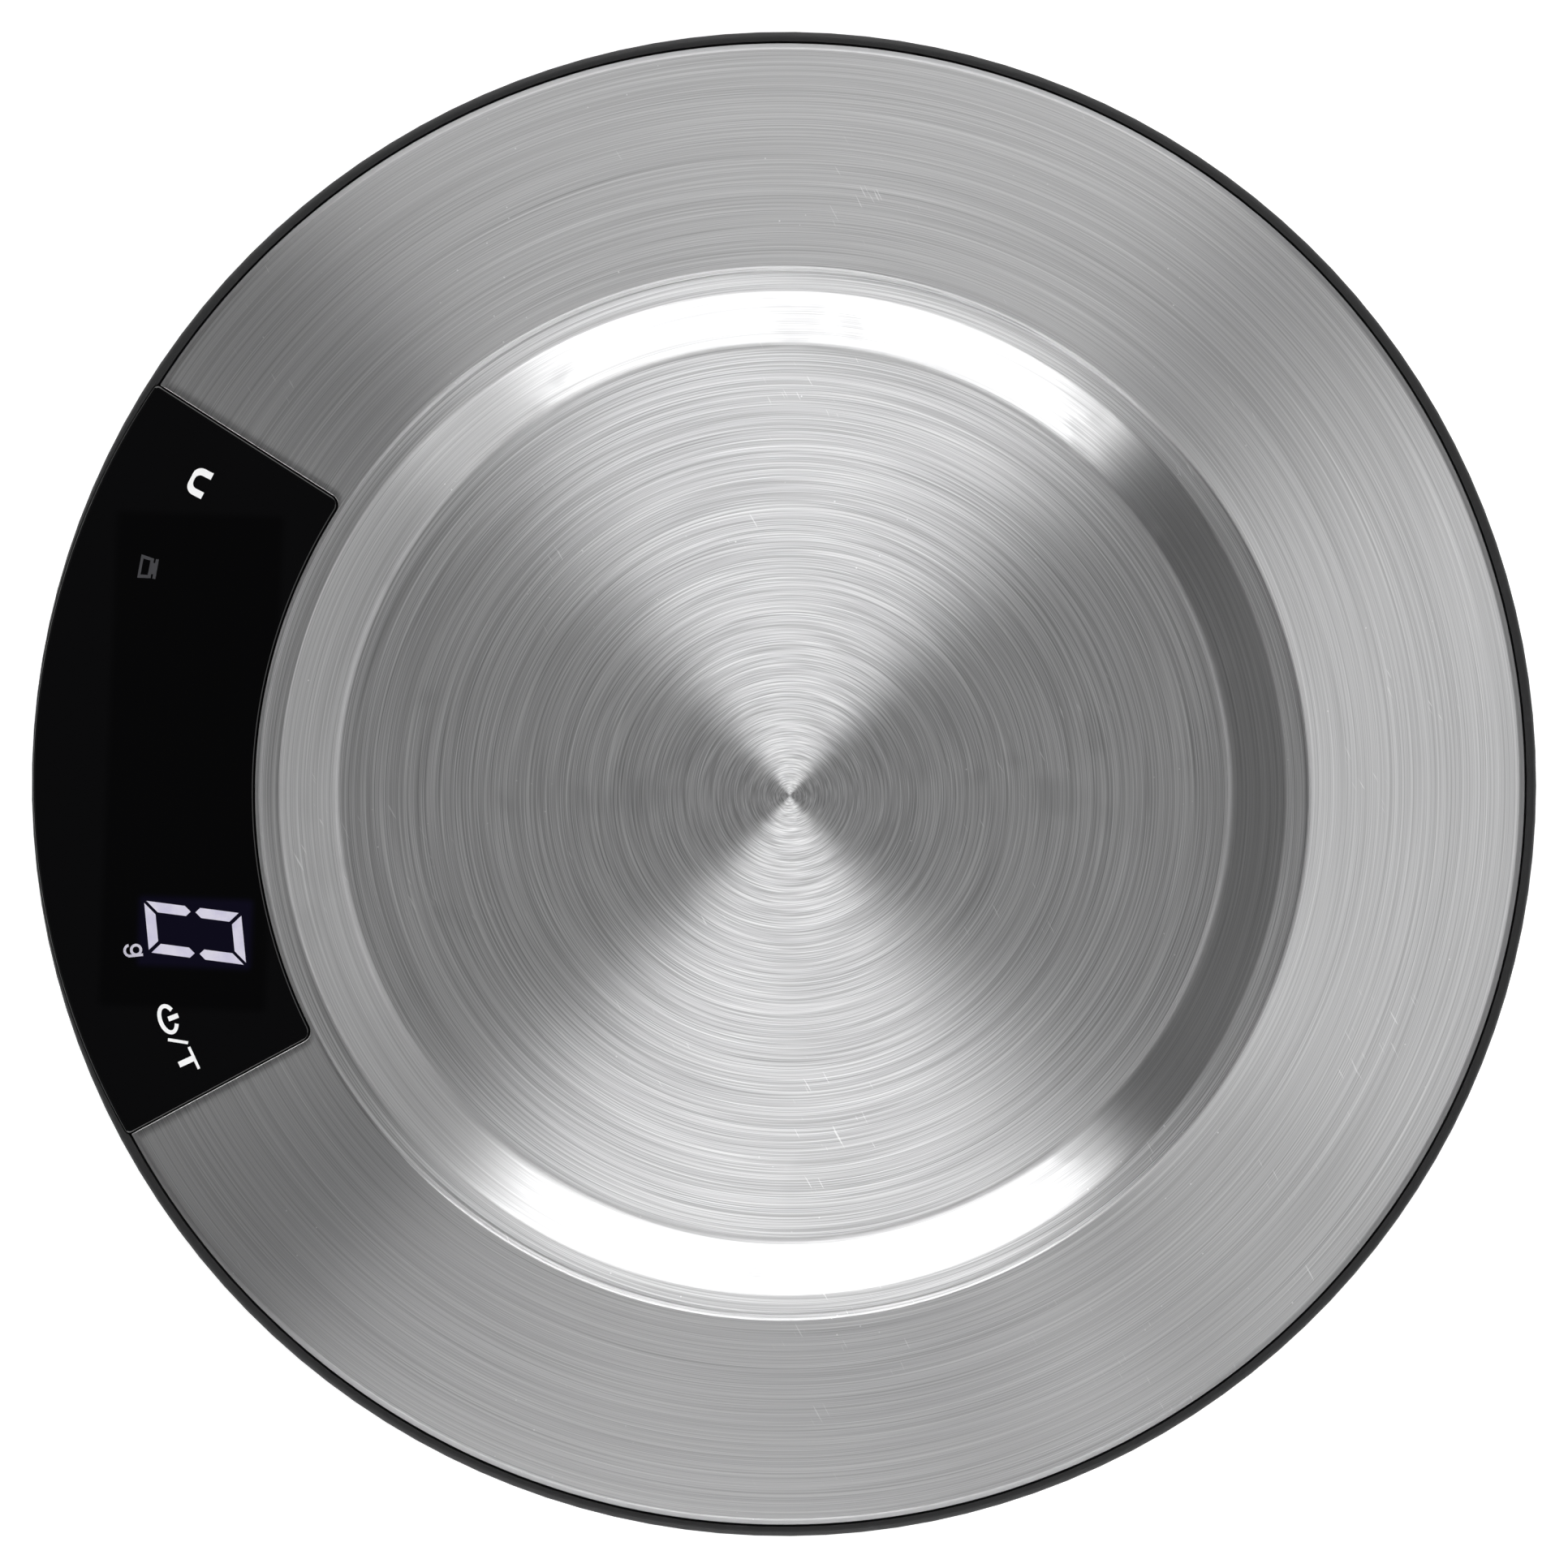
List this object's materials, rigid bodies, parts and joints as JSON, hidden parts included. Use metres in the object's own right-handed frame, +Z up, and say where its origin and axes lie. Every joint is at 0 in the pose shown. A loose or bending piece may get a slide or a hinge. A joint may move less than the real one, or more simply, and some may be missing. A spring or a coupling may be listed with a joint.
{
  "type": "kitchen scale",
  "caption": "Round low kitchen scale with a brushed steel platform, shallow dish, glossy black touch panel and sprung load-cell feet.",
  "frame": {"origin": "on the table, under the middle of the round housing", "axes": "+Z up; the control panel faces the user at -Y; the battery bay is at +Y"},
  "size_m": [0.2, 0.2, 0.022],
  "materials": {
    "brushed_cover": "circular brushed stainless sheet",
    "tape": "double-sided adhesive tape",
    "housing_black": "fine moulded texture",
    "panel_black": "polished smoked acrylic",
    "lit_mark": "lit display window",
    "lit_mark_dim": "dimly lit display window",
    "idle_mark": "unlit display window",
    "white_print": "white printed legend",
    "module_black": "moulded display body",
    "board_green": "solder resist",
    "chip_black": "moulded package",
    "small_parts": "ceramic and moulded parts",
    "plated_wire": "plated spring wire",
    "screw_steel": "zinc-plated screw",
    "foot_black": "moulded foot",
    "pad_rubber": "soft rubber",
    "cell_steel": "stamped spring steel",
    "gauge_amber": "foil gauge under clear coating",
    "lead_grey": "jacketed lead",
    "lead_red": "insulated wire",
    "lead_black": "insulated wire",
    "battery_sleeve": "printed sleeve",
    "contact_nickel": "nickel-plated spring strip"
  },
  "bodies": {
    "scale_body": {"steel_cover": "brushed_cover", "cover_tape": "tape", "upper_housing": "housing_black", "lower_housing": "housing_black", "control_panel": "panel_black", "panel_tape": "tape", "lit_digit": "lit_mark", "lit_unit_sign": "lit_mark_dim", "idle_volume_sign": "idle_mark", "key_legends": "white_print", "display_module": "module_black", "main_board": "board_green", "controller_chip": "chip_black", "board_parts": "small_parts", "touch_springs": "plated_wire", "board_screws": "screw_steel", "load_cell_screws": "screw_steel", "housing_screws": "screw_steel", "battery_inner": "battery_sleeve", "battery_outer": "battery_sleeve", "terminal_plus": "contact_nickel", "terminal_minus": "contact_nickel", "bridge_contact": "contact_nickel", "battery_lead_plus": "lead_red", "battery_lead_minus": "lead_black", "load_cell_front_left": "cell_steel", "strain_gauge_front_left": "gauge_amber", "cell_lead_front_left": "lead_grey", "load_cell_front_right": "cell_steel", "strain_gauge_front_right": "gauge_amber", "cell_lead_front_right": "lead_grey", "load_cell_rear_left": "cell_steel", "strain_gauge_rear_left": "gauge_amber", "cell_lead_rear_left": "lead_grey", "load_cell_rear_right": "cell_steel", "strain_gauge_rear_right": "gauge_amber", "cell_lead_rear_right": "lead_grey"},
    "foot_front_left_set": {"foot_front_left": "foot_black", "pad_front_left": "pad_rubber"},
    "foot_front_right_set": {"foot_front_right": "foot_black", "pad_front_right": "pad_rubber"},
    "foot_rear_left_set": {"foot_rear_left": "foot_black", "pad_rear_left": "pad_rubber"},
    "foot_rear_right_set": {"foot_rear_right": "foot_black", "pad_rear_right": "pad_rubber"},
    "battery_door_set": {"battery_door": "housing_black"}
  },
  "joints": [
    {"name": "foot_front_left_press", "type": "slide", "parent": "scale_body", "child": "foot_front_left_set", "axis": [0, 0, 1], "range_m": [0, 0.0003], "stiffness_N_per_m": 30000, "deforming": ["load_cell_front_left"]},
    {"name": "foot_front_right_press", "type": "slide", "parent": "scale_body", "child": "foot_front_right_set", "axis": [0, 0, 1], "range_m": [0, 0.0003], "stiffness_N_per_m": 30000, "deforming": ["load_cell_front_right"]},
    {"name": "foot_rear_left_press", "type": "slide", "parent": "scale_body", "child": "foot_rear_left_set", "axis": [0, 0, 1], "range_m": [0, 0.0003], "stiffness_N_per_m": 30000, "deforming": ["load_cell_rear_left"]},
    {"name": "foot_rear_right_press", "type": "slide", "parent": "scale_body", "child": "foot_rear_right_set", "axis": [0, 0, 1], "range_m": [0, 0.0003], "stiffness_N_per_m": 30000, "deforming": ["load_cell_rear_right"]},
    {"name": "battery_door_hinge", "type": "hinge", "parent": "scale_body", "child": "battery_door_set", "pos_m": [0, 0.06673, 0.0032], "axis": [-1, 0, 0], "range_deg": [0, 50]}
  ]
}
